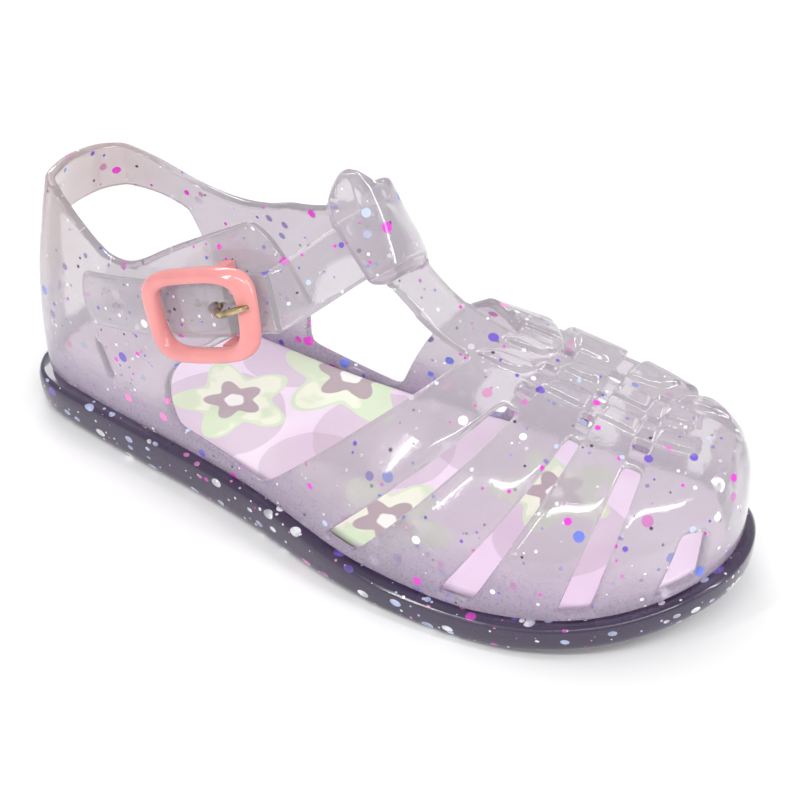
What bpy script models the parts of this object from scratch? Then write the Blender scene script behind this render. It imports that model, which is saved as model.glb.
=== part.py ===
"""Child's right jelly sandal, moulded in one clear shot on a smoky outsole, in metres.

The toe points to -Y, the lateral (buckle) side is -X and the sole stands on the plane Z = 0.
"""
import math

import bmesh
import bpy
import numpy as np
from mathutils import Vector

# Driving sizes
LENGTH = 0.150
BALL_WIDTH = 0.0575
HEEL_HEIGHT = 0.0540
VAMP_HEIGHT = 0.0405
SOLE_HEEL = 0.0082
SOLE_FORE = 0.0060
TOE_SPRING = 0.0085
LEDGE = 0.0020
WALL = 0.0019
INSOLE_THICKNESS = 0.0024
STRAP_WIDTH = 0.0108
TBAR_WIDTH = 0.0102
PAD_LIFT = 0.0013
KEEPER_WALL = 0.0016
BUCKLE_WIDTH = 0.0240
BUCKLE_HEIGHT = 0.0174
BUCKLE_THICKNESS = 0.0030
PIN_DIAMETER = 0.0013
GAP = 0.0003
INSOLE_GAP = 0.0006

# Sole outline, anticlockwise from the heel over the lateral side and the toe:
# along = share of the length from the heel, across = share of half the ball width
OUTLINE = (
    (0.000, 0.00), (0.006, -0.30), (0.035, -0.57), (0.110, -0.68), (0.250, -0.74),
    (0.420, -0.82), (0.560, -0.95), (0.680, -0.95), (0.790, -0.87), (0.880, -0.69),
    (0.945, -0.42), (0.985, -0.10), (1.000, 0.22), (0.987, 0.56), (0.950, 0.84),
    (0.880, 1.02), (0.780, 1.07), (0.660, 1.00), (0.540, 0.83), (0.420, 0.71),
    (0.280, 0.69), (0.140, 0.65), (0.045, 0.50), (0.008, 0.25),
)
# Crest of the vamp: along, across, height as a share of VAMP_HEIGHT
RIDGE = (
    (0.560, 0.300, 1.180), (0.655, 0.395, 1.035), (0.720, 0.460, 0.975), (0.785, 0.510, 0.905),
    (0.843, 0.540, 0.860), (0.893, 0.570, 0.845), (0.940, 0.590, 0.820),
)
# Where a line that leaves the sole at "along" meets the crest
FAN = ((0.431, 0.668), (0.540, 0.722), (0.588, 0.737), (0.707, 0.781), (0.752, 0.796),
       (0.855, 0.840), (0.891, 0.854), (0.951, 0.892), (1.000, 0.930))
# Fullness of the vamp section, lateral and medial: smaller is squarer
FULLNESS = (0.76, 0.50)
# Lines of the vamp from its rear edge to the toe: along on the lateral and on the medial side,
# what follows the line, lean of the line towards the toe
VAMP_COLUMNS = (
    (0.431, 0.462, "edge", 0.0640), (0.440, 0.469, "pad", 0.0640), (0.485, 0.508, "pad", 0.0640),
    (0.530, 0.547, "pad", 0.0640), (0.540, 0.555, "gap", 0.0620), (0.564, 0.576, "gap", 0.0600),
    (0.588, 0.597, "edge", 0.0560), (0.598, 0.605, "pad", 0.0550), (0.647, 0.650, "pad", 0.0500),
    (0.696, 0.697, "pad", 0.0440), (0.707, 0.707, "gap", 0.0420), (0.730, 0.730, "gap", 0.0370),
    (0.752, 0.752, "edge", 0.0310), (0.761, 0.761, "pad", 0.0300), (0.803, 0.803, "pad", 0.0240),
    (0.846, 0.846, "pad", 0.0180), (0.855, 0.855, "gap", 0.0160), (0.873, 0.873, "gap", 0.0145),
    (0.891, 0.891, "edge", 0.0130), (0.899, 0.899, "pad", 0.0130), (0.921, 0.921, "pad", 0.0140),
    (0.943, 0.943, "pad", 0.0180), (0.951, 0.951, "lens", 0.0220), (0.969, 0.969, "lens", 0.0135),
    (0.984, 0.984, "edge", 0.0050),
    (0.995, 0.995, "edge", 0.0010), (1.000, 1.000, "edge", 0.0000),
)
# Lengthwise strips of the weave: distance from the crest along the surface, share of BALL_WIDTH
ROWS_LATERAL = (0.307, 0.240, 0.202, 0.190, 0.143, 0.131, 0.093, 0.081, 0.034, 0.022, 0.000)
ROWS_MEDIAL = (0.245, 0.225, 0.205, 0.185, 0.165, 0.140, 0.115, 0.103, 0.029, 0.017, 0.000)
STRIPS_LATERAL = (0, 2, 3, 4, 6, 7, 8)
STRIPS_MEDIAL = (6, 7, 8)
PADS_LATERAL = (3, 4, 7, 8)
PADS_MEDIAL = (7, 8)
SIDE_ROWS = (1.0, 0.8, 0.6, 0.4, 0.2)
SIDE_SHARE = 0.62
TOE_EVEN = (0.940, 0.995)
WARP_TOP = 0.65
WARP_BEND = 0.75
MEDIAL_WARP = 0.6
LENS_ROWS = 3
# Centre strap from the vamp to the keeper: along, across, height as a share of HEEL_HEIGHT
TBAR = ((0.622, 0.180, 0.785), (0.598, 0.157, 0.825), (0.577, 0.120, 0.885),
        (0.561, 0.080, 0.945), (0.5487, 0.049, 0.998))
TBAR_ROWS = (2, 3, 4, 5, 6, 7, 8, 9)
TBAR_BLEND = 4
# Heel, quarters and tab, from the medial front over the heel to the tab: side (0 = by arc share),
# along at the rim, at three heights, at the split level, its height, along at the top, its height
WALL_COLUMNS = (
    (1, 0.323, 0.322, 0.325, 0.340, 0.366, 0.669, 0.323, 0.906),
    (1, 0.285, 0.284, 0.284, 0.288, 0.300, 0.620, 0.275, 0.835),
    (1, 0.240, 0.238, 0.235, 0.230, 0.222, 0.602, 0.215, 0.796),
    (1, 0.190, 0.181, 0.168, 0.152, 0.137, 0.676, 0.150, 0.815),
    (1, 0.125, 0.120, 0.115, 0.110, 0.095, 0.722, 0.105, 0.870),
    (1, 0.060, 0.058, 0.055, 0.053, 0.050, 0.744, 0.052, 0.926),
    (0, -0.040, -0.040, -0.040, -0.040, -0.040, 0.746, -0.040, 0.936),
    (0, -0.022, -0.022, -0.022, -0.022, -0.022, 0.748, -0.022, 0.952),
    (0, 0.000, 0.000, 0.000, 0.000, 0.000, 0.748, 0.000, 0.970),
    (0, 0.016, 0.016, 0.016, 0.016, 0.016, 0.745, 0.016, 0.984),
    (0, 0.035, 0.035, 0.035, 0.035, 0.035, 0.745, 0.035, 0.993),
    (0, 0.050, 0.050, 0.050, 0.050, 0.050, 0.732, 0.050, 0.987),
    (-1, 0.070, 0.070, 0.070, 0.070, 0.070, 0.718, 0.070, 0.974),
    (-1, 0.105, 0.105, 0.105, 0.105, 0.105, 0.690, 0.105, 0.925),
    (-1, 0.145, 0.143, 0.138, 0.136, 0.134, 0.660, 0.140, 0.872),
    (-1, 0.178, 0.173, 0.155, 0.152, 0.150, 0.650, 0.160, 0.852),
    (-1, 0.188, 0.183, 0.165, 0.168, 0.170, 0.640, 0.180, 0.843),
    (-1, 0.235, 0.228, 0.225, 0.232, 0.245, 0.630, 0.225, 0.863),
    (-1, 0.285, 0.270, 0.272, 0.293, 0.334, 0.639, 0.280, 0.980),
    (-1, 0.375, 0.375, 0.375, 0.375, 0.375, 0.735, 0.310, 1.035),
    (-1, 0.415, 0.415, 0.415, 0.415, 0.415, 0.826, 0.345, 1.100),
    (-1, 0.446, 0.446, 0.446, 0.446, 0.446, 0.900, 0.376, 1.155),
    (-1, 0.468, 0.468, 0.468, 0.468, 0.468, 0.955, 0.393, 1.182),
    (-1, 0.479, 0.479, 0.479, 0.479, 0.479, 0.974, 0.417, 1.150),
)
FRONT_COLUMN = 18
WINDOW = (3, 9)
SLOT_COLUMN = 15
SPLIT_SHARES = (0.22, 0.52, 0.78)
REAR_SOLE = 0.2
UPPER_ROWS = 4
HEEL_BLEND = 0.05
WALL_STEPS = 3
RIM_BETWEEN = {-1: (0.320, 0.358, 0.395), 1: (0.428, 0.395, 0.358)}
# Height of the rim above the sole: along, share of LENGTH
RIM = ((0.000, 0.032), (0.300, 0.032), (0.400, 0.022), (0.470, 0.012), (1.000, 0.012))
# How far the wall leans in: along, then one column for each height share of LEAN_HEIGHTS
LEAN_HEIGHTS = (0.0, 0.25, 0.50, 0.75, 1.00, 1.20)
LEAN = (
    (0.00, 0.0000, -0.0003, 0.0008, 0.0032, 0.0060, 0.0085),
    (0.15, 0.0000, -0.0003, 0.0006, 0.0026, 0.0052, 0.0075),
    (0.20, 0.0000, -0.0003, 0.0002, 0.0010, 0.0032, 0.0055),
    (0.30, 0.0000, -0.0004, -0.0004, 0.0012, 0.0036, 0.0060),
    (0.40, 0.0000, -0.0002, 0.0000, 0.0024, 0.0062, 0.0092),
    (0.50, 0.0000, 0.0004, 0.0020, 0.0062, 0.0120, 0.0165),
)
LEAN_MEDIAL = (
    (0.00, 0.0000, -0.0003, 0.0008, 0.0032, 0.0060, 0.0085),
    (0.18, 0.0000, -0.0003, 0.0006, 0.0024, 0.0050, 0.0075),
    (0.27, 0.0000, -0.0002, 0.0010, 0.0034, 0.0066, 0.0095),
    (0.38, 0.0000, 0.0004, 0.0018, 0.0048, 0.0090, 0.0125),
    (0.50, 0.0000, 0.0010, 0.0035, 0.0085, 0.0150, 0.0200),
)
# Ankle strap on the medial wall: side, along, height, direction of its width (back, up), width
STRAP_ON_WALL_MEDIAL = (
    (1, 0.345, 0.785, 0.50, 0.86, 1.30),
    (1, 0.384, 0.850, 0.60, 0.80, 1.08),
)
# Ankle strap in the open: along, across, height, direction of its width (medial, back, up)
STRAP_FREE = (
    (0.500, 0.400, 1.002, -0.15, 0.50, 0.85),
    (0.525, 0.050, 1.109, 0.00, 0.50, 0.87),
    (0.503, -0.200, 1.082, 0.08, 0.72, 0.69),
)
STRAP_ON_WALL_LATERAL = (
    (-1, 0.463, 1.012, 0.50, 0.86, 1.0),
    (-1, 0.441, 0.980, 0.45, 0.89, 1.0),
    (-1, 0.418, 0.948, 0.40, 0.92, 1.0),
    (-1, 0.374, 0.892, 0.36, 0.93, 1.0),
    (-1, 0.290, 0.800, 0.30, 0.95, 1.0),
    (-1, 0.215, 0.735, 0.27, 0.96, 1.0),
    (-1, 0.160, 0.690, 0.27, 0.96, 0.95),
)
STRAP_STEPS = 3
TIP_SHARES = (0.25, 0.80, 1.00)
STRAP_LIFT = WALL + 0.0020
# Keeper sleeve: share of its length from the medial end, how far it rises above the strap
KEEPER_RISE = ((0.00, 0.0015), (0.12, 0.0036), (0.28, 0.0030), (0.42, 0.0020), (0.55, 0.0045),
               (0.68, 0.0072), (0.85, 0.0060), (1.00, 0.0025))
KEEPER_SPAN = (0.0105, -0.0068)
KEEPER_FLOOR = 0.0022
KEEPER_ROOM = 0.00045
KEEPER_POINTS = 20
KEEPER_EAR = 0.0006
KEEPER_EAR_FROM = 0.55
KEEPER_RISE_WAY = (0.0, 0.25, 0.97)
# How the sleeve thins at its ends: share of its length, share of the thickness that is left
KEEPER_FLOOR_END = (0.12, 0.45)
KEEPER_SKIN_END = (0.10, 0.60)
# Buckle: centre on the lateral side (along, height) and direction of its length (back, up)
BUCKLE_AT = (0.374, 0.892)
BUCKLE_WAY = (0.930, -0.367)
BUCKLE_HOLE = (0.0176, 0.0118)
BUCKLE_LIFT = STRAP_LIFT + 0.0008
BAR_AT = -0.0033
BAR_SIZE = (0.0024, 0.0146)
BAR_LEVELS = (0.0005, 0.0013)
POST_INNER = 0.0059
# Prong: along the buckle, across it, height above the tab
PRONG = ((0.0052, -0.0002, 0.0010), (0.0000, 0.0000, 0.0010), (-0.0012, 0.0000, 0.0021),
         (-0.0021, 0.0000, 0.0036), (-0.0036, 0.0003, 0.0056), (-0.0072, 0.0010, 0.0085),
         (-0.0126, 0.0020, 0.0088))
HOLES = ((-0.0022, 0.0050, 0.0026), (0.0235, 0.0030, 0.0021))
# Outsole section from the floor up: inset, share of its thickness
SOLE_LAYERS = ((0.0014, 0.00), (0.0003, 0.14), (0.0000, 0.45), (0.0000, 0.88), (0.0007, 1.00))
INSOLE_LAYERS = ((0.0000, 0.00), (0.0000, 0.75), (0.0005, 1.00))
HEEL_FLARE = 0.0008
SLAB_STATIONS = 44


def smooth(table, column, t):
    """Read a table through a smooth curve over its first column."""
    xs = [row[0] for row in table]
    ys = [row[column] for row in table]
    t = min(max(t, xs[0]), xs[-1])
    i = max(j for j in range(len(xs) - 1) if xs[j] <= t + 1e-12)
    h = xs[i + 1] - xs[i]
    f = (t - xs[i]) / h

    def slope(j):
        lo, hi = max(j - 1, 0), min(j + 1, len(xs) - 1)
        return (ys[hi] - ys[lo]) / (xs[hi] - xs[lo]) * h

    return ((2 * f**3 - 3 * f**2 + 1) * ys[i] + (f**3 - 2 * f**2 + f) * slope(i)
            + (3 * f**2 - 2 * f**3) * ys[i + 1] + (f**3 - f**2) * slope(i + 1))


def closed_spline(points, count):
    """Points of a periodic cubic spline through the given plan points."""
    p = np.asarray(points, float)
    m = len(p)
    d = np.linalg.norm(np.roll(p, -1, 0) - p, axis=1) ** 0.5
    a = np.zeros((m, m))
    b = np.zeros((m, 2))
    for i in range(m):
        j = (i + 1) % m
        a[i, i - 1] += d[i - 1]
        a[i, i] += 2 * (d[i - 1] + d[i])
        a[i, j] += d[i]
        b[i] = 6 * ((p[j] - p[i]) / d[i] - (p[i] - p[i - 1]) / d[i - 1])
    c = np.linalg.solve(a, b)
    knots = np.concatenate([[0], np.cumsum(d)])
    q = np.linspace(0, knots[-1], count, endpoint=False)
    k = np.clip(np.searchsorted(knots, q, side="right") - 1, 0, m - 1)
    n = (k + 1) % m
    h = d[k][:, None]
    u = (knots[k + 1] - q)[:, None]
    v = (q - knots[k])[:, None]
    return ((c[k] * u**3 + c[n] * v**3) / (6 * h)
            + (p[k] / h - c[k] * h / 6) * u + (p[n] / h - c[n] * h / 6) * v)


CURVE = closed_spline([(across * BALL_WIDTH / 2, LENGTH * (0.5 - along)) for along, across in OUTLINE], 1440)
LOOP = np.vstack([CURVE, CURVE[:1]])
ARC = np.concatenate([[0], np.cumsum(np.linalg.norm(np.diff(LOOP, axis=0), axis=1))])
ARC /= ARC[-1]
TOE_ARC = float(ARC[int(np.argmin(CURVE[:, 1]))])


def on_loop(a):
    return np.array([np.interp(a % 1.0, ARC, LOOP[:, 0]), np.interp(a % 1.0, ARC, LOOP[:, 1])])


def edge(a, inset=0.0):
    """Plan point of the sole outline at arc share a, moved inwards."""
    t = on_loop(a + 0.004) - on_loop(a - 0.004)
    t /= np.linalg.norm(t)
    return on_loop(a) + inset * np.array([-t[1], t[0]])


def arc_at(side, along):
    """Arc share of the outline at a share of the length, side -1 lateral or +1 medial."""
    keep = ARC[:-1] <= TOE_ARC if side < 0 else ARC[:-1] >= TOE_ARC
    y, a = CURVE[keep, 1], ARC[:-1][keep]
    order = np.argsort(y)
    return float(np.interp(LENGTH * (0.5 - along), y[order], a[order]))


def along_of(y):
    return 0.5 - y / LENGTH


def sole_bottom(along):
    return TOE_SPRING * max(0.0, (along - 0.70) / 0.30) ** 2


def sole_top(along):
    f = min(max((along - 0.42) / 0.28, 0.0), 1.0)
    return sole_bottom(along) + SOLE_HEEL + (SOLE_FORE - SOLE_HEEL) * f * f * (3 - 2 * f)


def ridge(along):
    return np.array([smooth(RIDGE, 1, along) * BALL_WIDTH / 2, LENGTH * (0.5 - along),
                     smooth(RIDGE, 2, along) * VAMP_HEIGHT])


def vamp(a, w, meet):
    """Outer surface of the forefoot: arc share a on the sole, share w of the way to the crest.

    meet is the share of the length at which the line reaches the crest.
    """
    base = edge(a, LEDGE)
    along = along_of(base[1])
    crest = ridge(meet)
    medial = min(max((a - TOE_ARC + 0.06) / 0.12, 0.0), 1.0)
    square = FULLNESS[0] + (FULLNESS[1] - FULLNESS[0]) * medial
    out = math.cos(w * math.pi / 2) ** square if w < 1 else 0.0
    up = math.sin(w * math.pi / 2) ** square
    x, y = crest[:2] + (base - crest[:2]) * out
    z = sole_top(along) + GAP
    return np.array([x, y, z + (crest[2] - z) * up])

def lean_in(side, along, share):
    """How far the wall leans in at a share of HEEL_HEIGHT above the sole."""
    table = LEAN_MEDIAL if side > 0 else LEAN
    rows = [float(np.interp(share, LEAN_HEIGHTS, row[1:])) for row in table]
    return float(np.interp(along, [row[0] for row in table], rows))


def wall(a, z, lift=0.0):
    """Outer surface of the heel and quarters: arc share a, height z, moved outwards by lift."""
    along = along_of(edge(a)[1])
    side = 1 if 0.5 < a % 1.0 else -1
    share = max(z - sole_top(along), 0.0) / HEEL_HEIGHT
    near = min(min(a % 1.0, 1.0 - a % 1.0) / HEEL_BLEND, 1.0)
    shift = near * lean_in(side, along, share) + (1 - near) * lean_in(-1, 0.0, share)
    x, y = edge(a, LEDGE + shift - lift)
    return np.array([x, y, z])


class Sheet:
    """An open surface made of grids that share the points on their common edges."""

    def __init__(self):
        self.points = []
        self.lifts = []
        self.faces = []
        self.index = {}

    def point(self, p, lift):
        key = tuple(int(round(c * 2e5)) for c in p)
        if key not in self.index:
            self.index[key] = len(self.points)
            self.points.append(tuple(float(c) for c in p))
            self.lifts.append(lift)
        return self.index[key]

    def grid(self, columns, keep=lambda i, j: True, flip=False, lifts=None):
        """Join neighbouring columns of points with faces; keep(i, j) tells which cells are solid."""
        ids = [[None] * len(column) for column in columns]
        for i in range(len(columns) - 1):
            for j in range(len(columns[0]) - 1):
                if not keep(i, j):
                    continue
                quad = []
                for m, n in ((i, j), (i + 1, j), (i + 1, j + 1), (i, j + 1)):
                    if ids[m][n] is None:
                        ids[m][n] = self.point(columns[m][n], lifts[m][n] if lifts else 0.0)
                    if ids[m][n] not in quad:
                        quad.append(ids[m][n])
                if len(quad) > 2:
                    self.faces.append(tuple(reversed(quad)) if flip else tuple(quad))


def rim_height(along):
    return smooth(RIM, 1, along) * LENGTH


def rim_top(a):
    base = edge(a, LEDGE)
    along = along_of(base[1])
    return np.array([base[0], base[1], sole_top(along) + GAP + rim_height(along)])


def wall_column(side, rows):
    """Points of one column from its rows of (along, height share); the first is on the rim."""
    points = []
    for k, (along, share) in enumerate(rows):
        a = along if side == 0 else arc_at(side, along)
        points.append(rim_top(a) if k == 0 else wall(a, share * HEEL_HEIGHT))
    return points


def spread(column):
    """Rows of one wall column: rim, three between, split level and four up to the top edge."""
    side, low, mid1, mid2, mid3, split, split_z, top, top_z = column
    start = (sole_top(REAR_SOLE) + GAP + rim_height(low if side else 0.0)) / HEEL_HEIGHT
    rows = [(low, start)]
    for value, share in zip((mid1, mid2, mid3), SPLIT_SHARES):
        rows.append((value, start + (split_z - start) * share))
    for k in range(UPPER_ROWS + 1):
        f = k / UPPER_ROWS
        rows.append((split + (top - split) * f, split_z + (top_z - split_z) * f))
    return rows


def build_wall(sheet):
    """Heel, quarters and tab; gives back the strap's root and the points on the rim."""
    table = [wall_column(column[0], spread(column)) for column in WALL_COLUMNS]
    columns = through(table, WALL_STEPS)
    split = len(SPLIT_SHARES) + 1

    def keep(i, j):
        k = i // WALL_STEPS
        if k >= FRONT_COLUMN or WINDOW[0] <= k < WINDOW[1]:
            return j >= split
        return not (k == SLOT_COLUMN and j == 1)

    sheet.grid(columns, keep)
    return columns[0][split:], [column[0] for column in columns[:FRONT_COLUMN * WALL_STEPS + 1]]


def strap_sections():
    """Lower and upper edge of the ankle strap from its root to its free end."""
    lower, upper = [], []
    for side, along, height, back, up, width in STRAP_ON_WALL_MEDIAL:
        for sign, edge_line in ((-1, lower), (1, upper)):
            half = sign * width * STRAP_WIDTH / 2
            a = arc_at(side, along - half * back / LENGTH)
            edge_line.append(wall(a, height * HEEL_HEIGHT + half * up))
    for along, across, height, side_way, back, up in STRAP_FREE:
        centre = np.array([across * BALL_WIDTH / 2, LENGTH * (0.5 - along), height * HEEL_HEIGHT])
        way = np.array([side_way, back, up])
        way = way / np.linalg.norm(way) * STRAP_WIDTH / 2
        lower.append(centre - way)
        upper.append(centre + way)
    for side, along, height, back, up, width in STRAP_ON_WALL_LATERAL:
        for sign, edge_line in ((-1, lower), (1, upper)):
            half = sign * width * STRAP_WIDTH / 2
            a = arc_at(side, along - half * back / LENGTH)
            edge_line.append(wall(a, height * HEEL_HEIGHT + half * up, STRAP_LIFT))
    return np.array(lower), np.array(upper)


def through(points, steps):
    """A smooth line through the points with the given number of steps in each stretch."""
    p = np.asarray(points, float)
    n = len(p)
    out = []
    for i in range(n - 1):
        before, after = p[max(i - 1, 0)], p[min(i + 2, n - 1)]
        m0 = (p[i + 1] - before) / (2 if i else 1)
        m1 = (after - p[i]) / (2 if i + 2 < n else 1)
        for k in range(steps):
            f = k / steps
            out.append((2 * f**3 - 3 * f**2 + 1) * p[i] + (f**3 - 2 * f**2 + f) * m0
                       + (3 * f**2 - 2 * f**3) * p[i + 1] + (f**3 - f**2) * m1)
    out.append(p[-1])
    return np.array(out)


def build_strap(sheet, root):
    """The ankle strap, joined to the upper rows of the medial pillar."""
    lower, upper = strap_sections()
    lower, upper = through(lower, STRAP_STEPS), through(upper, STRAP_STEPS)
    columns = []
    for low, top in zip(lower, upper):
        row = [low + (top - low) * (j / UPPER_ROWS) for j in range(UPPER_ROWS + 1)]
        columns.append(row)
    columns[0] = root
    last = len(columns) - 1
    tip = [TIP_SHARES[min(j, UPPER_ROWS - j)] for j in range(UPPER_ROWS + 1)]
    for j in range(UPPER_ROWS + 1):
        columns[last][j] = columns[last - 1][j] + (columns[last][j] - columns[last - 1][j]) * tip[j]
    sheet.grid(columns, flip=True)
    return columns


def vamp_column(side, base_along, meet, warp=0.0):
    """Points of one line from the rim over the side to the crest."""
    a = arc_at(side, base_along) if base_along < 1 else TOE_ARC
    shares = np.linspace(0.0, 1.0, 241)
    warp = warp if side < 0 else -MEDIAL_WARP * warp
    line = np.array([vamp(a + warp * min(w / WARP_TOP, 1.0) ** WARP_BEND, w, meet) for w in shares])
    foot = rim_top(a)
    first = int(np.argmax(line[:, 2] > foot[2] + 1e-4))
    line = np.vstack([[foot], line[first:]])[::-1]
    run = np.concatenate([[0], np.cumsum(np.linalg.norm(np.diff(line, axis=0), axis=1))])
    toe = min(max((base_along - TOE_EVEN[0]) / (TOE_EVEN[1] - TOE_EVEN[0]), 0.0), 1.0)
    own = np.array(ROWS_LATERAL if side < 0 else ROWS_MEDIAL) * BALL_WIDTH
    even = (np.array(ROWS_LATERAL) + np.array(ROWS_MEDIAL)) / 2 * BALL_WIDTH
    reach = own + (even - own) * toe
    squeeze = min(1.0, SIDE_SHARE * run[-1] / reach[0])
    reach = reach * squeeze
    low = [reach[0] + (run[-1] - reach[0]) * f for f in SIDE_ROWS]
    stops = np.array(low + list(reach))
    return [np.array([np.interp(r, run, line[:, c]) for c in range(3)]) for r in stops]


def build_vamp(sheet):
    """Straps, woven vamp and toe cap: lateral and medial half up to the crest."""
    first_row = len(SIDE_ROWS)
    for side in (-1, 1):
        columns = [vamp_column(side, row[0] if side < 0 else row[1], smooth(FAN, 1, row[0]), row[3])
                   for row in VAMP_COLUMNS]
        kinds = [row[2] for row in VAMP_COLUMNS]
        strips = STRIPS_LATERAL if side < 0 else STRIPS_MEDIAL

        def keep(i, j):
            if kinds[i] == "gap":
                return j - first_row in strips
            if kinds[i] == "lens":
                return j >= LENS_ROWS
            return True

        lifts = [[0.0] * len(columns[0]) for column in columns]
        for i, kind in enumerate(kinds):
            if kind != "pad":
                continue
            for j in (PADS_LATERAL if side < 0 else PADS_MEDIAL):
                lifts[i][first_row + j] = PAD_LIFT
        sheet.grid(columns, keep, flip=side > 0, lifts=lifts)
        if side < 0:
            rear = columns[0][first_row:]
            rim = [column[0] for column in columns]
        else:
            rim += [column[0] for column in reversed(columns[:-1])]
    return rear, rim


def build_tbar(sheet, rear):
    """Centre strap from the rear of the vamp up to the keeper."""
    start = [rear[k] for k in TBAR_ROWS]
    count = len(start)
    centre0 = (start[0] + start[-1]) / 2
    path = [centre0]
    for along, across, height in TBAR:
        path.append(np.array([across * BALL_WIDTH / 2, LENGTH * (0.5 - along), height * HEEL_HEIGHT]))
    line = through(path, 2)
    spans = np.concatenate([[0], np.cumsum([np.linalg.norm(b - a) for a, b in zip(start, start[1:])])])
    spans = spans / spans[-1] - 0.5
    columns = [start]
    for k in range(1, len(line)):
        f = min(k / TBAR_BLEND, 1.0)
        f = f * f * (3 - 2 * f)
        way = np.array([1.0, 0.0, 0.0])
        width = np.linalg.norm(start[-1] - start[0]) * (1 - f) + TBAR_WIDTH * f
        row = []
        for j in range(count):
            moved = start[j] - centre0 + line[k]
            flat = line[k] + way * width * spans[j]
            row.append(moved * (1 - f) + flat * f)
        columns.append(row)
    sheet.grid(columns, flip=True)
    return line[-1]


def build_ring(sheet, rim):
    """The rim, from the sole up to the given points, closed all round."""
    columns = [[np.array([p[0], p[1], sole_top(along_of(p[1])) + GAP]), p] for p in rim]
    sheet.grid(columns + columns[:1])


def slab(inset, layers, floor, thickness, flare=0.0):
    """A flat-topped slab inside the sole outline, as points and faces."""
    shares = [0.5 - 0.5 * math.cos(math.pi * i / SLAB_STATIONS) for i in range(SLAB_STATIONS + 1)]
    arcs = [0.0] + [arc_at(-1, s) for s in shares[1:-1]] + [TOE_ARC] + [arc_at(1, s) for s in shares[-2:0:-1]]
    count = len(arcs)
    points, faces = [], []
    for extra, share in layers:
        for a in arcs:
            heel = max(0.0, 1.0 - along_of(edge(a)[1]) / 0.16)
            x, y = edge(a, inset + extra - flare * heel * share)
            points.append((x, y, floor(along_of(y)) + thickness(along_of(y)) * share))
    for k in range(len(layers) - 1):
        for i in range(count):
            j = (i + 1) % count
            faces.append((k * count + i, k * count + j, (k + 1) * count + j, (k + 1) * count + i))
    for base, up in ((0, False), ((len(layers) - 1) * count, True)):
        for i in range(SLAB_STATIONS):
            ring = [i, i + 1, (count - i - 1) % count, (count - i) % count]
            quad = []
            for v in ring:
                if base + v not in quad:
                    quad.append(base + v)
            faces.append(tuple(quad) if up else tuple(reversed(quad)))
    return points, faces


def on_side(d, w, lift):
    """A point on the lateral side: d along the buckle to the heel, w across it upwards."""
    back, up = BUCKLE_WAY
    along = BUCKLE_AT[0] - (d * back - w * up) / LENGTH
    z = BUCKLE_AT[1] * HEEL_HEIGHT + d * up + w * back
    return wall(arc_at(-1, along), z, lift)


def tube(rings, closed=False):
    """Join rings of points into a closed body; with closed ends unless the tube is a loop."""
    n, m = len(rings), len(rings[0])
    points = [tuple(p) for ring in rings for p in ring]
    faces = []
    for i in range(n if closed else n - 1):
        for j in range(m):
            k, l = (i + 1) % n, (j + 1) % m
            faces.append((i * m + j, i * m + l, k * m + l, k * m + j))
    if not closed:
        faces.append(tuple(reversed(range(m))))
        faces.append(tuple((n - 1) * m + j for j in range(m)))
    return points, faces


def frame_loop():
    """Buckle frame: a rounded square ring that follows the curve of the side."""
    rings = []
    corners = 48
    for i in range(corners):
        t = 2 * math.pi * i / corners
        c, s = math.cos(t), math.sin(t)
        c, s = math.copysign(abs(c) ** 0.5, c), math.copysign(abs(s) ** 0.5, s)
        ring = []
        for j in range(12):
            q = 2 * math.pi * j / 12
            across = 0.5 + 0.5 * math.copysign(abs(math.cos(q)) ** 0.8, math.cos(q))
            high = 0.5 + 0.5 * math.copysign(abs(math.sin(q)) ** 0.8, math.sin(q))
            d = c * (BUCKLE_HOLE[0] + (BUCKLE_WIDTH - BUCKLE_HOLE[0]) * across) / 2
            w = s * (BUCKLE_HOLE[1] + (BUCKLE_HEIGHT - BUCKLE_HOLE[1]) * across) / 2
            ring.append(on_side(d, w, BUCKLE_LIFT + BUCKLE_THICKNESS * high))
        rings.append(ring)
    return tube(rings, closed=True)


def bar_body():
    """Centre bar under the strap with a post at each end that reaches up to the frame."""
    post_top = BUCKLE_LIFT - GAP
    half = BAR_SIZE[1] / 2
    rings = []
    for w, top in ((-half, post_top), (-POST_INNER - GAP, post_top), (-POST_INNER, BAR_LEVELS[1]),
                   (-POST_INNER / 3, BAR_LEVELS[1]), (POST_INNER / 3, BAR_LEVELS[1]),
                   (POST_INNER, BAR_LEVELS[1]), (POST_INNER + GAP, post_top), (half, post_top)):
        d0, d1 = BAR_AT - BAR_SIZE[0] / 2, BAR_AT + BAR_SIZE[0] / 2
        rings.append([on_side(d0, w, BAR_LEVELS[0]), on_side(d1, w, BAR_LEVELS[0]),
                      on_side(d1, w, top), on_side(d0, w, top)])
    return tube(rings)


def prong_body():
    path = through([on_side(*row) for row in PRONG], 4)
    rings = []
    for i, p in enumerate(path):
        t = path[min(i + 1, len(path) - 1)] - path[max(i - 1, 0)]
        t = t / np.linalg.norm(t)
        u = np.cross(t, [0.0, 0.0, 1.0])
        u = u / np.linalg.norm(u)
        v = np.cross(t, u)
        end = min(i, len(path) - 1 - i)
        radius = PIN_DIAMETER / 2 * (0.7 if end == 0 else 1.0)
        rings.append([p + radius * (math.cos(q) * u + math.sin(q) * v)
                      for q in [2 * math.pi * j / 12 for j in range(12)]])
    return tube(rings)


def end_share(f, reach, least):
    """Share of a thickness at f of a length: least at both ends, all of it from reach inwards."""
    return least + (1 - least) * min(min(f, 1 - f) / reach, 1.0) ** 0.5


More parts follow.
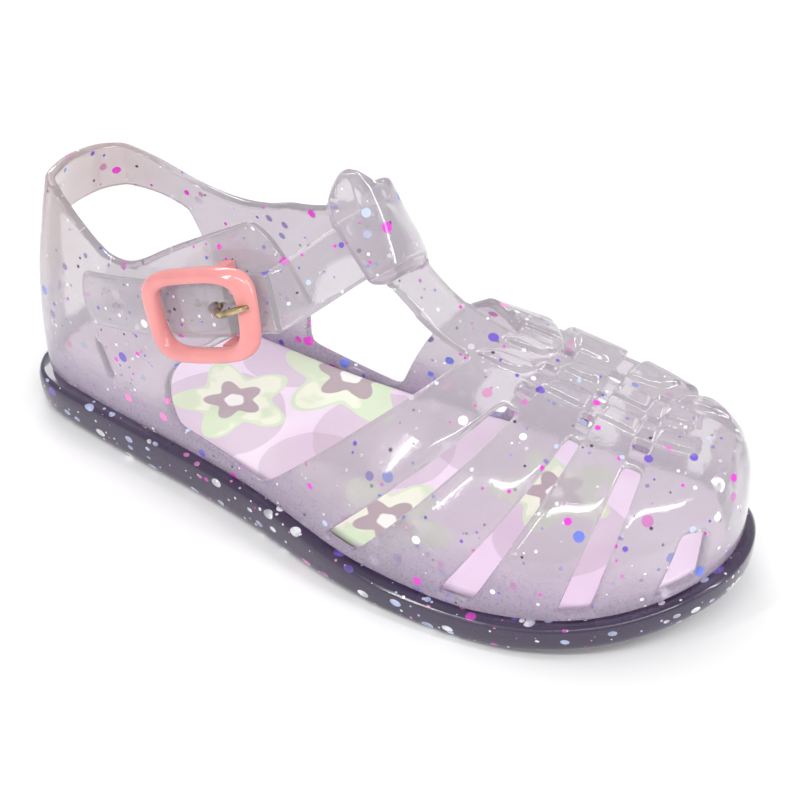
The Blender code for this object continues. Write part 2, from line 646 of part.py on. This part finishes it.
def keeper_body(columns):
    """Sleeve round the ankle strap, with its ear above the strap."""
    own = [c for c in columns if KEEPER_SPAN[1] <= c[UPPER_ROWS // 2][0] <= KEEPER_SPAN[0]
           and c[UPPER_ROWS // 2][2] > 0.95 * HEEL_HEIGHT]
    line = np.array([c[UPPER_ROWS // 2] for c in own])
    wide = np.array([(c[-1] - c[0]) / np.linalg.norm(c[-1] - c[0]) for c in own])
    line, wide = through(line, 2), through(wide, 2)
    run = np.concatenate([[0], np.cumsum(np.linalg.norm(np.diff(line, axis=0), axis=1))])
    outer, inner = [], []
    half = STRAP_WIDTH / 2 + KEEPER_ROOM
    rise_way = np.array(KEEPER_RISE_WAY)
    for i, centre in enumerate(line):
        t = line[min(i + 1, len(line) - 1)] - line[max(i - 1, 0)]
        w = wide[i] / np.linalg.norm(wide[i])
        n = np.cross(w, t)
        n = n / np.linalg.norm(n)
        f = run[i] / run[-1]
        floor = KEEPER_FLOOR * end_share(f, *KEEPER_FLOOR_END)
        rise = smooth(KEEPER_RISE, 1, f)
        skin = KEEPER_WALL * end_share(f, *KEEPER_SKIN_END)
        ring_out, ring_in = [], []
        for j in range(KEEPER_POINTS):
            q = 2 * math.pi * (j + 0.5) / KEEPER_POINTS
            c, s = math.cos(q), math.sin(q)
            near_c, near_s = (math.copysign(abs(v) ** 0.25, v) for v in (c, s))
            far_c, far_s = (math.copysign(abs(v) ** 0.5, v) for v in (c, s))
            mid = -WALL / 2
            ring_in.append(centre + w * half * near_c + n * (mid + (WALL / 2 + KEEPER_ROOM) * near_s))
            deep = n * (mid + (WALL / 2 + KEEPER_ROOM + skin) * far_s)
            if c > 0:
                high = min(far_c * 1.25, 1.0)
                over = max(far_c - KEEPER_EAR_FROM, 0.0) / (1 - KEEPER_EAR_FROM)
                ear = (half + KEEPER_EAR) * high + KEEPER_EAR * over
                p = centre + w * ear + deep + rise_way * rise * over
            else:
                p = centre + w * (half + floor) * far_c + deep
            ring_out.append(p)
        outer.append(ring_out)
        inner.append(ring_in)
    count, m = len(outer), KEEPER_POINTS
    points = [tuple(p) for ring in outer + inner for p in ring]
    faces = []
    for i in range(count - 1):
        for j in range(m):
            k = (j + 1) % m
            faces.append((i * m + j, (i + 1) * m + j, (i + 1) * m + k, i * m + k))
            o = count * m
            faces.append((o + i * m + j, o + i * m + k, o + (i + 1) * m + k, o + (i + 1) * m + j))
    for i in (0, count - 1):
        for j in range(m):
            k = (j + 1) % m
            o = count * m
            quad = (i * m + j, i * m + k, o + i * m + k, o + i * m + j)
            faces.append(quad if i == 0 else tuple(reversed(quad)))
    return points, faces


def clean_scene():
    for obj in list(bpy.data.objects):
        bpy.data.objects.remove(obj, do_unlink=True)


def material(name, colour, roughness, metallic=0.0, clear=0.0):
    made = bpy.data.materials.new(name)
    made.use_nodes = True
    shader = made.node_tree.nodes["Principled BSDF"]
    shader.inputs["Base Color"].default_value = (*colour, 1.0)
    shader.inputs["Roughness"].default_value = roughness
    shader.inputs["Metallic"].default_value = metallic
    shader.inputs["Transmission Weight"].default_value = clear
    return made


OUTSOLE = slab(0.0, SOLE_LAYERS, sole_bottom, lambda s: sole_top(s) - sole_bottom(s), HEEL_FLARE)
# The outsole is the widest and longest piece: its middle on the floor is the origin
SHIFT = Vector([(min(p[k] for p in OUTSOLE[0]) + max(p[k] for p in OUTSOLE[0])) / 2 for k in (0, 1)] + [0.0])


def add(name, body, coll, mat=None):
    points, faces = body
    mesh = bpy.data.meshes.new(name)
    mesh.from_pydata([Vector(p) - SHIFT for p in points], [], faces)
    bm = bmesh.new()
    bm.from_mesh(mesh)
    bmesh.ops.recalc_face_normals(bm, faces=bm.faces)
    bm.to_mesh(mesh)
    bm.free()
    obj = bpy.data.objects.new(name, mesh)
    coll.objects.link(obj)
    if mat:
        mesh.materials.append(mat)
    return obj


def boolean(obj, other, operation):
    modifier = obj.modifiers.new(other.name, "BOOLEAN")
    modifier.operation = operation
    modifier.solver = "EXACT"
    modifier.object = other
    other.hide_render = True
    other.display_type = "WIRE"


def thicken(sheet, coll):
    """Give the sheet its wall and raise the pads on the outer face only."""
    mesh = bpy.data.meshes.new("upper_sheet")
    mesh.from_pydata([Vector(p) - SHIFT for p in sheet.points], [], sheet.faces)
    mesh.update()
    normals = [vertex.normal.copy() for vertex in mesh.vertices]
    shell = bpy.data.objects.new("upper_sheet", mesh)
    coll.objects.link(shell)
    modifier = shell.modifiers.new("wall", "SOLIDIFY")
    modifier.thickness = WALL
    modifier.offset = -1.0
    modifier.use_quality_normals = True
    bpy.context.view_layer.update()
    solid = bpy.data.meshes.new_from_object(shell.evaluated_get(bpy.context.evaluated_depsgraph_get()))
    for i, lift in enumerate(sheet.lifts):
        if lift:
            solid.vertices[i].co += normals[i] * lift
    bpy.data.objects.remove(shell)
    return solid


def hole_cutter(name, d, length, width, coll):
    """Rounded slug along the wall's depth for a strap hole."""
    rings = []
    for lift in (STRAP_LIFT - WALL - 0.0010, STRAP_LIFT + 0.0010):
        rings.append([on_side(d + length / 2 * math.cos(q), width / 2 * math.sin(q), lift)
                      for q in [2 * math.pi * j / 16 for j in range(16)]])
    return add(name, tube(rings), coll)


def main():
    clean_scene()
    parts = bpy.data.collections.new("jelly_sandal")
    cutters = bpy.data.collections.new("cutters")
    for coll in (parts, cutters):
        bpy.context.scene.collection.children.link(coll)
    cutters.hide_render = True

    smoke = material("smoky_plastic", (0.085, 0.07, 0.11), 0.25)
    clear = material("clear_plastic", (0.78, 0.74, 0.80), 0.12, clear=0.8)
    print_ = material("printed_sock", (0.78, 0.66, 0.78), 0.5)
    pink = material("pink_plastic", (0.85, 0.35, 0.36), 0.25)
    dark = material("bar_plastic", (0.12, 0.10, 0.10), 0.3)
    brass = material("brass", (0.70, 0.55, 0.25), 0.25, metallic=1.0)

    add("outsole", OUTSOLE, parts, smoke)
    add("insole", slab(LEDGE + WALL + INSOLE_GAP, INSOLE_LAYERS, lambda s: sole_top(s) + GAP,
                       lambda s: INSOLE_THICKNESS), parts, print_)

    sheet = Sheet()
    root, heel_rim = build_wall(sheet)
    rear, vamp_rim = build_vamp(sheet)
    build_tbar(sheet, rear)
    sides = [[rim_top(arc_at(side, along)) for along in RIM_BETWEEN[side]] for side in (-1, 1)]
    build_ring(sheet, heel_rim + sides[0] + vamp_rim + sides[1])
    strap = build_strap(sheet, root)
    solid = thicken(sheet, parts)
    solid.name = "upper"
    upper = bpy.data.objects.new("upper", solid)
    parts.objects.link(upper)
    solid.materials.clear()
    solid.materials.append(clear)
    boolean(upper, add("keeper", keeper_body(strap), cutters), "UNION")
    for k, (d, length, width) in enumerate(HOLES):
        boolean(upper, hole_cutter("strap_hole_%d" % (k + 1), d, length, width, cutters), "DIFFERENCE")

    add("buckle_frame", frame_loop(), parts, pink)
    add("buckle_bar", bar_body(), parts, dark)
    add("buckle_prong", prong_body(), parts, brass)


main()
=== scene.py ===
"""Looks of a child's clear glitter jelly sandal, a right shoe, standing on a pale floor.

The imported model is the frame. Finer copies with rounded lips stand for the upper, the outsole, the
insole, the buckle's frame and its prong. The buckle's bar keeps its solid. Each piece gets its
finish. Metres, toe towards -Y, buckle at -X.
"""
import math

import bmesh
import bpy
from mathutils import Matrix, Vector


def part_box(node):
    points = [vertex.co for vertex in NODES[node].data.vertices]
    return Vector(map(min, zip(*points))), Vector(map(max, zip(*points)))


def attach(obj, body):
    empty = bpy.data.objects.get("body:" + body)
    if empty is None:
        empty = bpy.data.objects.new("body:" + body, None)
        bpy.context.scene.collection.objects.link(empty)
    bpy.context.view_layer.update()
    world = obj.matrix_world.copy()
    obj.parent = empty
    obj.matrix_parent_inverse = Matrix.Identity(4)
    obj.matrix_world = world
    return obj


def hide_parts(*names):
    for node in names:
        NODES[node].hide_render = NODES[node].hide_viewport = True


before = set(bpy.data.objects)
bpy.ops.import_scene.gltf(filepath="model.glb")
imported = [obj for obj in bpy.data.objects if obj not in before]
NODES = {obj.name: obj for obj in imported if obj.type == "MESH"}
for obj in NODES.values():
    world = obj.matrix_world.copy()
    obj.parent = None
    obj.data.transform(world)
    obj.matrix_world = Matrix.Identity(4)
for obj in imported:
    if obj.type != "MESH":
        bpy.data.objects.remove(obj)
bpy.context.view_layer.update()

MM = 0.001

# Camera, in degrees, metres and millimetres of lens
VIEW_TURN = -56.0
VIEW_RISE = 39.0
VIEW_DISTANCE = 0.37716
VIEW_TARGET = Vector((0.00493, -0.00265, 0.01796))
VIEW_NEAR = 0.01
LENS = 89.19
SENSOR = 36.0

# Finer copies: how far welded points may be apart, how bent and how skewed two triangles may be
# that join, and the rounds of subdivision
WELD = 0.002 * MM
JOIN_BEND = math.radians(35)
JOIN_SKEW = math.radians(60)
FINE_LEVELS = 2

# Lips: the angle from which an edge is one, the rounds that ease it, and the shares that a point and
# each of its two neighbours have in its new place
LIP_ANGLE = math.radians(42)
LIP_ROUNDS = 2
LIP_OWN_SHARE = 0.6
LIP_NEAR_SHARE = 0.2

# Sockets of a Mix node that mixes colours
MIX_SHARE, MIX_FIRST, MIX_SECOND = 0, 6, 7
MIX_RESULT = 2

# Colours, as linear red, green and blue
CLEAR = (0.70, 0.65, 0.70, 1)
CLEAR_SHADE = (0.65, 0.64, 0.65, 1)
CLEAR_LOW = (0.52, 0.45, 0.56, 1)
CLEAR_WARM = (0.64, 0.53, 0.50, 1)
LAMP_TINT = (0.78, 0.74, 0.79, 1)
MAGENTA = (0.80, 0.05, 0.62, 1)
ROSE = (0.85, 0.25, 0.60, 1)
VIOLET = (0.17, 0.10, 0.55, 1)
BLUE = (0.16, 0.22, 0.72, 1)
SILVER = (0.88, 0.88, 0.92, 1)
SKY = (0.52, 0.60, 0.86, 1)
DARK_FLECK = (0.06, 0.05, 0.09, 1)
SMOKE = (0.026, 0.015, 0.044, 1)
SMOKE_THIN = (0.085, 0.065, 0.13, 1)
SOCK_LILAC = (0.77, 0.62, 0.76, 1)
SOCK_PALE = (0.80, 0.70, 0.80, 1)
SOCK_MAUVE = (0.43, 0.34, 0.40, 1)
PETAL = (0.62, 0.73, 0.52, 1)
PETAL_CREAM = (0.78, 0.82, 0.66, 1)
STAR = (0.42, 0.34, 0.36, 1)
HEART = (0.84, 0.84, 0.78, 1)
SALMON = (0.80, 0.30, 0.29, 1)
SALMON_DEEP = (0.74, 0.26, 0.26, 1)
# Painted shade on the bar's middle, where the strap covers it
BAR_PAINTED_SHADE = (0.10, 0.07, 0.065, 1)
BRASS = (0.60, 0.50, 0.30, 1)
BRASS_DARK = (0.28, 0.21, 0.12, 1)
WHITE = (1, 1, 1, 1)

# Glitter: spacing of the flecks, their radius, the share of the places that hold one, and colours
# as (start of its range, colour). The smallest fleck has FLECK_LEAST of the radius.
LARGE_FLECKS = (4.4 * MM, 1.05 * MM, 0.52,
                ((0.0, MAGENTA), (0.28, ROSE), (0.36, VIOLET), (0.58, BLUE), (0.74, SKY), (0.84, SILVER)))
SMALL_FLECKS = (1.9 * MM, 0.38 * MM, 0.55,
                ((0.0, SILVER), (0.40, MAGENTA), (0.55, VIOLET), (0.72, BLUE), (0.84, DARK_FLECK)))
SOLE_FLECKS = (3.4 * MM, 1.25 * MM, 0.72,
               ((0.0, SILVER), (0.46, SKY), (0.74, ROSE), (0.82, MAGENTA), (0.88, VIOLET)))
SOLE_DUST = (1.7 * MM, 0.36 * MM, 0.62,
             ((0.0, SILVER), (0.60, SKY), (0.85, ROSE), (0.95, MAGENTA)))
FLECK_LEAST = 0.45
SOLE_STRETCH = (1, 1, 1.5)
# How far the small flecks block what shines through, and how strongly the sole's dust shows
SMALL_BLOCK = 0.85
DUST_SHARE = 0.75

# Clear plastic. Its grainy foot fades out between these heights, which wander by up to FOOT_WANDER
FOOT_FADE = (13 * MM, 25 * MM)
FOOT_WANDER = 6 * MM
# The warm tone of the heel: where it sets in along the shoe and in height, and its share there
WARM_ALONG = (48 * MM, 68 * MM)
WARM_HEIGHT = (26 * MM, 44 * MM)
WARM_SHARE = 0.55
# Above the foot, and in it: share of dark specks, haze, depth of the grain and roughness
SPECK_SHARE = (0.04, 0.30)
HAZE = (0.26, 0.46)
GRAIN = (0.10, 1.0)
CLEAR_ROUGHNESS = (0.07, 0.26)

# The sock's print, in shares of its width, across from the lateral side, and of its length, from
# the toe: across, along, reach as a share of the width, and turn in degrees
FLOWERS = (
    (0.38, 0.71, 0.25, 20),
    (0.765, 0.605, 0.31, 50),
    (0.16, 0.40, 0.26, 80),
    (0.66, 0.25, 0.25, 25),
)
# The same, without a turn
ROUNDS = (
    (0.28, 0.71, 0.27),
    (0.78, 0.70, 0.24),
    (0.52, 0.49, 0.28),
    (0.22, 0.53, 0.22),
    (0.80, 0.38, 0.25),
    (0.45, 0.20, 0.25),
    (0.55, 0.93, 0.22),
)
PETALS = 5
# Layers of a flower from the widest: its size, how deep its petals are cut, and its colour
FLOWER_LAYERS = ((1.0, 0.20, PETAL), (0.93, 0.22, PETAL_CREAM), (0.50, 0.20, STAR), (0.17, 0.05, HEART))
# How soft the edges of the rounds and flowers are, how far they waver, and the strength of a round
ROUND_EDGE = 0.3 * MM
FLOWER_EDGE = 0.35 * MM
PRINT_WAVER = 1.2 * MM
ROUND_SHARE = 0.42

# The bar is dark with painted shade, where the strap covers it, up to the first of these shares of its
# height from its middle, and salmon from the second
BAR_SHADE_FADE = (0.33, 0.37)

# Studio: the floor's size, its two tones, the size of their patches, and the light of the surroundings
FLOOR_SIZE = 6
FLOOR_TONES = ((0.93, 0.93, 0.935, 1), (0.95, 0.95, 0.95, 1))
FLOOR_PATCH = 0.4
SURROUNDINGS_STRENGTH = 0.66
# Lamps: name, place, target, size and watts
LAMPS = (
    ("key", (-0.35, -0.25, 0.60), (0, 0, 0.02), (0.60, 0.05), 1.7),
    ("strip", (0.10, -0.60, 0.45), (0, -0.03, 0.03), (0.04, 0.50), 1.6),
    ("streak", (-0.55, 0.15, 0.35), (0, 0, 0.03), (0.03, 0.40), 0.8),
    ("back", (0.35, 0.45, 0.45), (0, 0, 0.03), (0.40, 0.10), 1.4),
)


class Finish:
    """A material's node tree, with short calls for what its finish is made of."""

    def __init__(self, name):
        self.material = bpy.data.materials.new(name)
        self.material.use_nodes = True
        self.tree = self.material.node_tree
        self.tree.nodes.clear()
        self.place = self.node("ShaderNodeTexCoord").outputs["Object"]

    def node(self, kind, inputs=(), **settings):
        """Adds a node. inputs gives each named or numbered socket a value or a link."""
        made = self.tree.nodes.new(kind)
        for name, value in settings.items():
            setattr(made, name, value)
        for name, value in dict(inputs).items():
            if isinstance(value, bpy.types.NodeSocket):
                self.tree.links.new(value, made.inputs[name])
            else:
                made.inputs[name].default_value = value
        return made

    def math(self, operation, first, second=0.0, clamp=False):
        made = self.node("ShaderNodeMath", {0: first, 1: second}, operation=operation)
        made.use_clamp = clamp
        return made.outputs[0]

    def mix(self, share, first, second):
        inputs = {MIX_SHARE: share, MIX_FIRST: first, MIX_SECOND: second}
        return self.node("ShaderNodeMix", inputs, data_type="RGBA").outputs[MIX_RESULT]

    def noise(self, size, detail=2.0, roughness=0.5):
        made = self.node("ShaderNodeTexNoise",
                         {"Vector": self.place, "Scale": 1 / size, "Detail": detail, "Roughness": roughness})
        return made.outputs["Fac"]

    def fade(self, value, start, end, low=0.0, high=1.0):
        """Low up to start, high from end, smooth between."""
        made = self.node("ShaderNodeMapRange",
                         {"Value": value, "From Min": start, "From Max": end, "To Min": low, "To Max": high},
                         interpolation_type="SMOOTHSTEP")
        return made.outputs["Result"]

    def axes(self):
        parts = self.node("ShaderNodeSeparateXYZ", {"Vector": self.place}).outputs
        return parts[0], parts[1], parts[2]

    def flecks(self, spacing, radius, share, colours, stretch=(1, 1, 1)):
        """Round flecks in the solid: (1 in a fleck and 0 outside, the fleck's colour)."""
        moved = self.node("ShaderNodeVectorMath", {0: self.place, 1: stretch}, operation="MULTIPLY")
        cells = self.node("ShaderNodeTexVoronoi",
                          {"Vector": moved.outputs[0], "Scale": 1 / spacing, "Randomness": 1.0})
        chance = self.node("ShaderNodeSeparateColor", {"Color": cells.outputs["Color"]}).outputs
        size = self.fade(chance[1], 0, 1, FLECK_LEAST * radius / spacing, radius / spacing)
        inside = self.math("LESS_THAN", cells.outputs["Distance"], size)
        held = self.math("LESS_THAN", chance[0], share)
        ramp = self.node("ShaderNodeValToRGB", {"Fac": chance[2]})
        ramp.color_ramp.interpolation = "CONSTANT"
        stops = ramp.color_ramp.elements
        stops[0].color = colours[0][1]
        stops[1].position = colours[1][0]
        stops[1].color = colours[1][1]
        for start, colour in colours[2:]:
            stops.new(start).color = colour
        return self.math("MULTIPLY", inside, held), ramp.outputs["Color"]

    def bump(self, height, depth, strength=1.0, under=None):
        """The normal of a relief of this depth, over the relief given as under."""
        made = self.node("ShaderNodeBump", {"Height": height, "Distance": depth, "Strength": strength})
        if under is not None:
            self.tree.links.new(under, made.inputs["Normal"])
        return made.outputs["Normal"]

    def surface(self, lamps=None, **inputs):
        """Closes the tree with a Principled shader. lamps is the colour that lamps pass through it with."""
        named = {name.replace("_", " "): value for name, value in inputs.items()}
        shader = self.node("ShaderNodeBsdfPrincipled", named).outputs[0]
        if lamps is not None:
            path = self.node("ShaderNodeLightPath").outputs["Is Shadow Ray"]
            clear = self.node("ShaderNodeBsdfTransparent", {"Color": lamps}).outputs[0]
            shader = self.node("ShaderNodeMixShader", {0: path, 1: shader, 2: clear}).outputs[0]
        self.node("ShaderNodeOutputMaterial", {"Surface": shader})
        return self.material


def clear_plastic():
    """Clear lilac jelly with glitter in it, grainy low on the walls and smooth and glossy above."""
    finish = Finish("clear_glitter")
    _, along, height = finish.axes()
    wander = finish.math("MULTIPLY", finish.noise(9 * MM), FOOT_WANDER)
    low = finish.fade(finish.math("ADD", height, wander), *FOOT_FADE, 1.0, 0.0)
    large, large_colour = finish.flecks(*LARGE_FLECKS)
    small, small_colour = finish.flecks(*SMALL_FLECKS)
    cloud = finish.noise(14 * MM, 3)
    warm = finish.math("MULTIPLY", finish.fade(along, *WARM_ALONG, 0.0, WARM_SHARE),
                       finish.fade(height, *WARM_HEIGHT))
    plain = finish.mix(warm, finish.mix(cloud, CLEAR, CLEAR_SHADE), CLEAR_WARM)
    plain = finish.mix(low, plain, CLEAR_LOW)
    speck = finish.fade(finish.noise(0.55 * MM, 2, 0.7), 0.50, 0.68)
    speck = finish.math("MULTIPLY", speck, finish.fade(low, 0, 1, *SPECK_SHARE))
    plain = finish.mix(speck, plain, SMOKE_THIN)
    colour = finish.mix(small, plain, small_colour)
    colour = finish.mix(large, colour, large_colour)
    glitter = finish.math("MAXIMUM", finish.math("MULTIPLY", small, SMALL_BLOCK), large)
    haze = finish.fade(low, 0, 1, *HAZE)
    open_share = finish.math("SUBTRACT", 1.0, haze)
    transmission = finish.math("MULTIPLY", open_share, finish.math("SUBTRACT", 1.0, glitter))
    grain = finish.noise(0.70 * MM, 3, 0.7)
    ripple = finish.noise(5 * MM, 1)
    soft = finish.bump(ripple, 0.12 * MM)
    grain = finish.math("MULTIPLY", grain, finish.fade(low, 0, 1, *GRAIN))
    normal = finish.bump(grain, 0.28 * MM, 0.8, soft)
    roughness = finish.fade(low, 0, 1, *CLEAR_ROUGHNESS)
    return finish.surface(lamps=LAMP_TINT, Base_Color=colour, Roughness=roughness, IOR=1.40,
                          Transmission_Weight=transmission, Normal=normal, Coat_Weight=0.5,
                          Coat_Roughness=0.04)


def smoky_plastic():
    """Smoky violet jelly of the sole, full of pale flecks, with a glossy skin, lighter clouds at random and
    a painted sheen that lightens it where the surface turns from the view.
    """
    finish = Finish("smoky_glitter")
    flecks, fleck_colour = finish.flecks(*SOLE_FLECKS, stretch=SOLE_STRETCH)
    dust, dust_colour = finish.flecks(*SOLE_DUST)
    cloud = finish.noise(11 * MM, 3)
    # Painted sheen: the smoke is painted lighter where the surface turns from the view, over lighter clouds
    # at random
    edge = finish.node("ShaderNodeLayerWeight", {"Blend": 0.35}).outputs["Facing"]
    cloud_and_edge_sheen = finish.math("MULTIPLY", cloud, finish.fade(edge, 0.2, 1.0, 0.35, 1.0))
    plain = finish.mix(cloud_and_edge_sheen, SMOKE, SMOKE_THIN)
    depth = finish.fade(finish.noise(3 * MM), 0.3, 0.7, 0.35, 0.9)
    colour = finish.mix(finish.math("MULTIPLY", dust, DUST_SHARE), plain, dust_colour)
    colour = finish.mix(finish.math("MULTIPLY", flecks, depth), colour, fleck_colour)
    ripple = finish.bump(finish.noise(4 * MM, 1), 0.10 * MM)
    normal = finish.bump(finish.noise(0.6 * MM, 2), 0.03 * MM, 0.5, ripple)
    roughness = finish.fade(cloud, 0.2, 0.8, 0.20, 0.34)
    return finish.surface(Base_Color=colour, Roughness=roughness, IOR=1.45, Normal=normal,
                          Coat_Weight=0.6, Coat_Roughness=0.06)


def printed_sock():
    """Lilac cloth sock with mauve rounds and pale five-petal flowers, in a loose layout."""
    finish = Finish("printed_sock")
    low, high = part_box("insole")
    width = high[0] - low[0]
    length = high[1] - low[1]
    side, along, _ = finish.axes()
    wobble = finish.math("MULTIPLY", finish.math("SUBTRACT", finish.noise(6 * MM), 0.5), PRINT_WAVER)
    colour = finish.mix(finish.fade(finish.noise(26 * MM, 1), 0.42, 0.58), SOCK_LILAC, SOCK_PALE)

    def reach_from(across_share, along_share):
        """Distances from a place in the print: to the side, along, and straight with a waver."""
        aside = finish.math("SUBTRACT", side, low[0] + across_share * width)
        ahead = finish.math("SUBTRACT", along, low[1] + along_share * length)
        far = finish.node("ShaderNodeCombineXYZ", {0: aside, 1: ahead}).outputs[0]
        far = finish.node("ShaderNodeVectorMath", {0: far}, operation="LENGTH").outputs["Value"]
        return aside, ahead, finish.math("ADD", far, wobble)

    for across_share, along_share, reach in ROUNDS:
        far = reach_from(across_share, along_share)[2]
        inside = finish.fade(far, reach * width, reach * width - ROUND_EDGE)
        colour = finish.mix(finish.math("MULTIPLY", inside, ROUND_SHARE), colour, SOCK_MAUVE)
    for across_share, along_share, reach, turn in FLOWERS:
        aside, ahead, far = reach_from(across_share, along_share)
        angle = finish.math("ARCTAN2", ahead, aside)
        angle = finish.math("ADD", finish.math("MULTIPLY", angle, PETALS), math.radians(PETALS * turn))
        petals = finish.math("COSINE", angle)
        for size, wave, shade in FLOWER_LAYERS:
            base = size * reach * width
            rim = finish.math("ADD", base * (1 - wave), finish.math("MULTIPLY", petals, base * wave))
            inside = finish.math("MULTIPLY", finish.math("SUBTRACT", rim, far), 1 / FLOWER_EDGE, clamp=True)
            if shade is PETAL_CREAM:
                inside = finish.math("MULTIPLY", inside, finish.fade(finish.noise(9 * MM), 0.46, 0.54))
            colour = finish.mix(inside, colour, shade)
    weave = finish.node("ShaderNodeTexVoronoi", {"Vector": finish.place, "Scale": 1 / (0.55 * MM)})
    normal = finish.bump(weave.outputs["Distance"], 0.05 * MM, 0.6)
    roughness = finish.fade(finish.noise(2 * MM), 0.3, 0.7, 0.48, 0.62)
    return finish.surface(Base_Color=colour, Roughness=roughness, Normal=normal, Sheen_Weight=0.25,
                          Sheen_Roughness=0.5)


def pink_plastic():
    """Opaque salmon plastic with a soft gloss, a little deeper in patches."""
    finish = Finish("salmon_buckle")
    colour = finish.mix(finish.fade(finish.noise(7 * MM, 2), 0.3, 0.7), SALMON, SALMON_DEEP)
    normal = finish.bump(finish.noise(4 * MM, 1), 0.05 * MM)
    roughness = finish.fade(finish.noise(3 * MM), 0.2, 0.8, 0.16, 0.24)
    return finish.surface(Base_Color=colour, Roughness=roughness, Normal=normal, Coat_Weight=0.6,
                          Coat_Roughness=0.05)


def bar_plastic():
    """The bar: dull, with painted shade as a dark middle under the strap, salmon at its ends as the frame
    is.
    """
    finish = Finish("bar_painted_shade")
    low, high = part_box("buckle_bar")
    middle = (low[2] + high[2]) / 2
    tall = high[2] - low[2]
    off = finish.math("ABSOLUTE", finish.math("SUBTRACT", finish.axes()[2], middle))
    # Painted shade: the bar's middle is dark where the strap covers it, its ends are salmon
    colour = finish.mix(finish.noise(3 * MM), BAR_PAINTED_SHADE, SMOKE)
    ends = finish.fade(off, BAR_SHADE_FADE[0] * tall, BAR_SHADE_FADE[1] * tall)
    colour = finish.mix(ends, colour, SALMON_DEEP)
    normal = finish.bump(finish.noise(0.8 * MM), 0.04 * MM)
    roughness = finish.fade(finish.noise(1 * MM), 0.2, 0.8, 0.35, 0.5)
    return finish.surface(Base_Color=colour, Roughness=roughness, Normal=normal)


def brass():
    """Drawn brass wire, darker where it is tarnished."""
    finish = Finish("brass_pin")
    worn = finish.fade(finish.noise(1.6 * MM, 3), 0.35, 0.65)
    colour = finish.mix(worn, BRASS, BRASS_DARK)
    normal = finish.bump(finish.noise(0.5 * MM, 2), 0.03 * MM)
    roughness = finish.fade(worn, 0, 1, 0.22, 0.42)
    return finish.surface(Base_Color=colour, Metallic=1.0, Roughness=roughness, Normal=normal)


def floor_white():
    """Matt white of the floor, in two close tones."""
    finish = Finish("floor_white")
    return finish.surface(Base_Color=finish.mix(finish.noise(FLOOR_PATCH), *FLOOR_TONES), Roughness=0.9)


def dress(piece, material):
    """Gives the piece one material in all its slots."""
    piece.data.materials.clear()
    piece.data.materials.append(material)


def ease_lips(work, crease):
    """Draws each point of a lip a little towards its neighbours along the lip, so that its line is fair."""
    moved = []
    for point in work.verts:
        lips = [edge.other_vert(point).co for edge in point.link_edges if edge[crease] > 0]
        if len(lips) == 2:
            moved.append((point, point.co * LIP_OWN_SHARE + (lips[0] + lips[1]) * LIP_NEAR_SHARE))
    for point, place in moved:
        point.co = place


def welded(node, name, lip):
    """A copy of a node's solid with its points welded and its triangles joined to quads."""
    mesh = bpy.data.meshes.new(name)
    work = bmesh.new()
    work.from_mesh(NODES[node].data)
    bmesh.ops.remove_doubles(work, verts=work.verts, dist=WELD)
    bmesh.ops.join_triangles(work, faces=work.faces, angle_face_threshold=JOIN_BEND,
                             angle_shape_threshold=JOIN_SKEW)
    crease = work.edges.layers.float.new("crease_edge")
    for edge in work.edges:
        if edge.calc_face_angle(0.0) > LIP_ANGLE:
            edge[crease] = lip
    for _ in range(LIP_ROUNDS):
        ease_lips(work, crease)
    for face in work.faces:
        face.smooth = True
    work.to_mesh(mesh)
    work.free()
    piece = bpy.data.objects.new(name, mesh)
    bpy.context.scene.collection.objects.link(piece)
    return piece


def fine(node, name, material, crease):
    """A finer copy that stands for a node: the solid's own shape with smooth curves and rounded edges."""
    piece = welded(node, name, crease)
    dress(piece, material)
    subdivision = piece.modifiers.new("fine", "SUBSURF")
    subdivision.levels = FINE_LEVELS
    subdivision.render_levels = FINE_LEVELS
    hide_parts(node)
    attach(piece, "root")


def area_light(name, place, target, size, power):
    """A soft rectangular light at a place, pointed at a target."""
    data = bpy.data.lights.new(name, "AREA")
    data.shape = "RECTANGLE"
    data.size, data.size_y = size
    data.energy = power
    light = bpy.data.objects.new(name, data)
    light.location = place
    light.rotation_euler = (Vector(target) - Vector(place)).to_track_quat("-Z", "Y").to_euler()
    bpy.context.scene.collection.objects.link(light)


def studio():
    """Pale floor, white surroundings and soft lights."""
    bpy.ops.mesh.primitive_plane_add(size=FLOOR_SIZE, location=(0, 0, 0))
    floor = bpy.context.object
    floor.name = "floor"
    dress(floor, floor_white())
    world = bpy.data.worlds.new("surroundings")
    world.use_nodes = True
    background = world.node_tree.nodes["Background"].inputs
    background["Color"].default_value = WHITE
    background["Strength"].default_value = SURROUNDINGS_STRENGTH
    bpy.context.scene.world = world
    for lamp in LAMPS:
        area_light(*lamp)
    bpy.context.scene.view_settings.view_transform = "Standard"


def camera():
    """The camera at the photograph's angle."""
    turn = math.radians(VIEW_TURN)
    rise = math.radians(VIEW_RISE)
    back = Vector((math.sin(turn) * math.cos(rise), -math.cos(turn) * math.cos(rise), math.sin(rise)))
    data = bpy.data.cameras.new("camera")
    data.lens = LENS
    data.sensor_width = SENSOR
    data.clip_start = VIEW_NEAR
    eye = bpy.data.objects.new("camera", data)
    eye.location = VIEW_TARGET + back * VIEW_DISTANCE
    eye.rotation_euler = back.to_track_quat("Z", "Y").to_euler()
    bpy.context.scene.collection.objects.link(eye)
    bpy.context.scene.camera = eye


# Pieces with a finer copy: node, name, slot, material and crease of its lips
FINE_PIECES = (
    ("upper", "clear_upper", "clear_plastic", clear_plastic, 0.30),
    ("outsole", "smoky_outsole", "smoky_plastic", smoky_plastic, 0.70),
    ("insole", "sock", "printed_sock", printed_sock, 0.80),
    ("buckle_frame", "salmon_frame", "pink_plastic", pink_plastic, 0.05),
    ("buckle_prong", "brass_prong", "brass", brass, 0.50),
)


def main():
    camera()
    studio()
    for node, name, slot, material, crease in FINE_PIECES:
        fine(node, name, material(), crease)
    dress(NODES["buckle_bar"], bar_plastic())


main()
